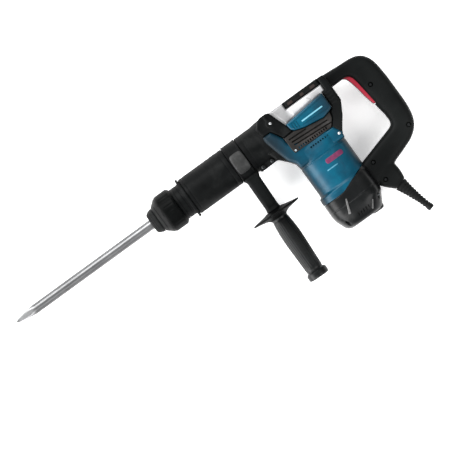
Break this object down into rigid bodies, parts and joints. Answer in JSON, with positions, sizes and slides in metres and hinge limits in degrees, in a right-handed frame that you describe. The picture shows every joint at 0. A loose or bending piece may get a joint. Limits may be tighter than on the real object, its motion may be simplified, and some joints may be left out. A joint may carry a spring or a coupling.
{
  "type": "demolition hammer",
  "caption": "Electric demolition hammer with a pointed chisel, locking sleeve, swivelling side handle, upright motor and rear D grip with trigger.",
  "frame": {"origin": "centre of the footprint on the surface that the tool lies on, on its right side", "axes": "+X along the barrel from the chisel to the rear grip, +Y to the top of the tool (the motor and both lower ends hang towards -Y), +Z out of its left side"},
  "size_m": [0.772, 0.304, 0.103],
  "materials": {
    "chisel_steel": "ground and polished",
    "machined_steel": "machined and lightly oiled",
    "spring_steel": "drawn wire",
    "screw_steel": "zinc plated",
    "laminated_steel": "stacked laminations",
    "light_alloy": "turned",
    "cast_aluminium": "die cast, bead blasted",
    "black_alloy": "die-cast light alloy with a textured black coat",
    "sleeve_plastic": "moulded, slightly glossy cone",
    "black_rubber": "moulded rubber",
    "blue_plastic": "fine-grained moulding",
    "black_plastic": "fine-grained moulding",
    "red_plastic": "moulded",
    "copper": "enamelled copper wire and copper bars",
    "brass": "pressed brass",
    "carbon": "pressed carbon"
  },
  "bodies": {
    "housing": {"tool_holder": "machined_steel", "dust_cap": "black_rubber", "sleeve_spring": "spring_steel", "front_ring": "black_alloy", "damping_ring": "black_rubber", "bolt_guide": "machined_steel", "cylinder_tube": "machined_steel", "piston": "light_alloy", "piston_o_ring": "black_rubber", "wrist_pin": "machined_steel", "con_rod": "machined_steel", "con_rod_bearing": "machined_steel", "crankshaft": "machined_steel", "crank_bearings": "machined_steel", "gear_housing": "cast_aluminium", "barrel_housing": "black_alloy", "top_cover": "black_plastic", "motor_housing": "blue_plastic", "bearing_plate": "cast_aluminium", "side_cover_left": "blue_plastic", "side_cover_right": "blue_plastic", "vent_grille_left": "black_plastic", "vent_grille_right": "black_plastic", "rear_bumper": "black_plastic", "motor_cap": "black_plastic", "brush_bridge": "black_plastic", "stator_core": "laminated_steel", "field_coils": "copper", "motor_bearings": "machined_steel", "brush_holders": "brass", "carbon_brushes": "carbon", "brush_springs": "spring_steel", "handle_left_shell": "black_plastic", "handle_right_shell": "black_plastic", "handle_screws": "screw_steel", "trigger_pin": "machined_steel", "trigger_spring": "spring_steel", "switch": "black_plastic", "cable_clamp": "black_plastic", "cable_sleeve": "black_rubber", "housing_screws": "screw_steel"},
    "chisel": {"chisel": "chisel_steel"},
    "locking_sleeve": {"locking_sleeve": "sleeve_plastic"},
    "segment_upper": {"locking_segment_upper": "machined_steel"},
    "segment_lower": {"locking_segment_lower": "machined_steel"},
    "impact_bolt": {"impact_bolt": "machined_steel"},
    "ram": {"ram": "machined_steel", "ram_o_ring": "black_rubber"},
    "crank_gear": {"crank_gear": "machined_steel"},
    "armature": {"armature_shaft": "machined_steel", "armature_core": "laminated_steel", "armature_windings": "copper", "commutator": "copper", "fan": "black_plastic"},
    "trigger": {"trigger": "red_plastic"},
    "side_handle": {"clamp_band": "black_alloy", "grip_stem": "black_plastic", "clamp_bolt": "screw_steel"},
    "side_grip": {"side_grip": "black_plastic", "grip_nut": "screw_steel"}
  },
  "joints": [
    {"name": "chisel_slide", "type": "slide", "parent": "housing", "child": "chisel", "axis": [1, 0, 0], "range_m": [0, 0.011]},
    {"name": "sleeve_slide", "type": "slide", "parent": "housing", "child": "locking_sleeve", "axis": [1, 0, 0], "range_m": [0, 0.008], "stiffness_N_per_m": 2000, "springref_m": -0.004, "deforming": ["sleeve_spring"]},
    {"name": "segment_upper_slide", "type": "slide", "parent": "housing", "child": "segment_upper", "axis": [0, 0, 1], "range_m": [0, 0.0035]},
    {"name": "segment_lower_slide", "type": "slide", "parent": "housing", "child": "segment_lower", "axis": [0, 0, -1], "range_m": [0, 0.0035]},
    {"name": "impact_bolt_slide", "type": "slide", "parent": "housing", "child": "impact_bolt", "axis": [1, 0, 0], "range_m": [0, 0.011]},
    {"name": "ram_slide", "type": "slide", "parent": "impact_bolt", "child": "ram", "axis": [1, 0, 0], "range_m": [0, 0.0165]},
    {"name": "armature_spin", "type": "hinge", "parent": "housing", "child": "armature", "pos_m": [0.2165, 0.01298, 0.0515], "axis": [0, -1, 0], "continuous": true},
    {"name": "crank_gear_spin", "type": "hinge", "parent": "housing", "child": "crank_gear", "pos_m": [0.2485, 0.08898, 0.0515], "axis": [0, -1, 0], "continuous": true},
    {"name": "trigger_press", "type": "hinge", "parent": "housing", "child": "trigger", "pos_m": [0.308, 0.12798, 0.0515], "axis": [0, 0, 1], "range_deg": [0, 6], "stiffness_Nm_per_rad": 2, "springref_deg": -6.88, "deforming": ["trigger_spring"]},
    {"name": "side_handle_swivel", "type": "hinge", "parent": "housing", "child": "side_handle", "pos_m": [0.0903, 0.11298, 0.0515], "axis": [1, 0, 0], "continuous": true},
    {"name": "grip_twist", "type": "hinge", "parent": "side_handle", "child": "side_grip", "pos_m": [0.08937, -0.03702, 0.0515], "axis": [-0.0265, -0.9996, 0], "continuous": true}
  ],
  "couplings": [
    {"joint": "impact_bolt_slide", "follows": "chisel_slide", "ratio": 1},
    {"joint": "segment_upper_slide", "follows": "sleeve_slide", "ratio": 0.4375},
    {"joint": "segment_lower_slide", "follows": "sleeve_slide", "ratio": 0.4375},
    {"joint": "crank_gear_spin", "follows": "armature_spin", "ratio": -0.14286}
  ]
}
